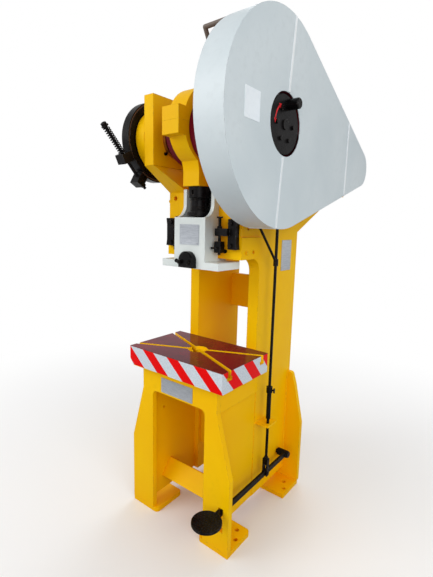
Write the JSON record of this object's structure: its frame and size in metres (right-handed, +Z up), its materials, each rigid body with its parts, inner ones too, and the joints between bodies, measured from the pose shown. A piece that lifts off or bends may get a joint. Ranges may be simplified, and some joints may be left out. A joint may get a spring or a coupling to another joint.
{
  "type": "mechanical stamping press",
  "caption": "Open-back eccentric stamping press with splayed legs, crossed T-slot table, ram, guarded flywheel, band brake and pedal linkage.",
  "frame": {"origin": "middle of the four inner floor bolt holes, on the floor", "axes": "+Z up, +X to the right seen from the front (flywheel side), -Y to the operator"},
  "size_m": [0.67, 1.1829, 1.8879],
  "materials": {
    "frame_yellow": "gloss enamel",
    "table_red": "high gloss",
    "guard_white": "semi gloss",
    "ram_white": "gloss",
    "black_steel": "oiled black",
    "crank_red": "gloss",
    "bright_steel": "machined",
    "bush_brass": "machined",
    "belt_rubber": "matt",
    "motor_grey": "satin",
    "plate_alu": "brushed",
    "lining_brown": "matt",
    "stay_brown": "satin"
  },
  "bodies": {
    "frame": {"side_plate_left": "frame_yellow", "side_plate_right": "frame_yellow", "head_webs": "frame_yellow", "guide_rails": "frame_yellow", "base_box": "frame_yellow", "front_leg_plate": "frame_yellow", "rear_leg_plate": "frame_yellow", "side_panels": "frame_yellow", "back_panel": "frame_yellow", "brace_plate": "frame_yellow", "foot_plates": "frame_yellow", "frame_ties": "frame_yellow", "bolster": "table_red", "crank_bushes": "bush_brass", "bush_screws": "black_steel", "brake_lining": "lining_brown", "brake_band": "black_steel", "brake_anchor": "bright_steel", "brake_tie_rod": "black_steel", "brake_nuts": "black_steel", "brake_spring": "black_steel", "stop_brackets": "black_steel", "stop_screws": "black_steel", "stop_blocks": "black_steel", "wing_screws": "black_steel", "stop_bolts": "black_steel", "belts": "belt_rubber", "motor": "motor_grey", "motor_shelf": "frame_yellow", "motor_bolts": "bright_steel", "guard_front": "guard_white", "guard_middle": "guard_white", "guard_rear": "guard_white", "guard_straps": "guard_white", "guard_stays": "stay_brown", "pedal_shafts": "black_steel", "rod_tab": "frame_yellow", "bare_plates": "plate_alu"},
    "crank": {"crankshaft": "crank_red", "brake_drum": "black_steel"},
    "flywheel": {"flywheel": "crank_red", "hub_disc": "black_steel", "hub_bolts": "black_steel", "hub_knob": "black_steel"},
    "ram": {"slide": "ram_white", "ball_ring": "bright_steel", "clamp_block": "black_steel", "clamp_screw": "black_steel", "clamp_nuts": "black_steel", "slide_plate": "plate_alu"},
    "rod": {"connecting_rod": "frame_yellow", "rod_cap": "frame_yellow", "cap_bolts": "black_steel", "ball_screw": "black_steel", "lock_collar": "black_steel"},
    "motor_pulley": {"motor_pulley": "bright_steel"},
    "pedal": {"pedal_lever": "black_steel"},
    "pull": {"pull_rod": "black_steel", "diagonal_link": "black_steel"},
    "trip": {"trip_lever": "black_steel"}
  },
  "joints": [
    {"name": "crank_spin", "type": "hinge", "parent": "frame", "child": "crank", "pos_m": [0, -0.205, 1.558], "axis": [1, 0, 0], "continuous": true},
    {"name": "flywheel_spin", "type": "hinge", "parent": "frame", "child": "flywheel", "pos_m": [0, -0.205, 1.558], "axis": [1, 0, 0], "continuous": true},
    {"name": "motor_pulley_spin", "type": "hinge", "parent": "frame", "child": "motor_pulley", "pos_m": [0, 0.538, 1.509], "axis": [1, 0, 0], "continuous": true},
    {"name": "slide_travel", "type": "slide", "parent": "frame", "child": "ram", "axis": [0, 0, 1], "range_m": [-0.055, 0]},
    {"name": "rod_swing", "type": "hinge", "parent": "ram", "child": "rod", "pos_m": [0, -0.205, 1.205], "axis": [1, 0, 0], "range_deg": [-4.1, 4.1]},
    {"name": "pedal_press", "type": "hinge", "parent": "frame", "child": "pedal", "pos_m": [0.225, 0.18, 0.176], "axis": [1, 0, 0], "range_deg": [0, 6]},
    {"name": "pull_rod_lift", "type": "slide", "parent": "frame", "child": "pull", "axis": [0, 0, 1], "range_m": [-0.01885, 0]},
    {"name": "trip_turn", "type": "hinge", "parent": "frame", "child": "trip", "pos_m": [0.203, -0.085, 1.33], "axis": [1, 0, 0], "range_deg": [-12.71, 0]}
  ],
  "couplings": [
    {"joint": "motor_pulley_spin", "follows": "flywheel_spin", "ratio": 5.3571},
    {"joint": "pull_rod_lift", "follows": "pedal_press", "m_per_rad": -0.18},
    {"joint": "trip_turn", "follows": "pedal_press", "ratio": -2.1176}
  ]
}
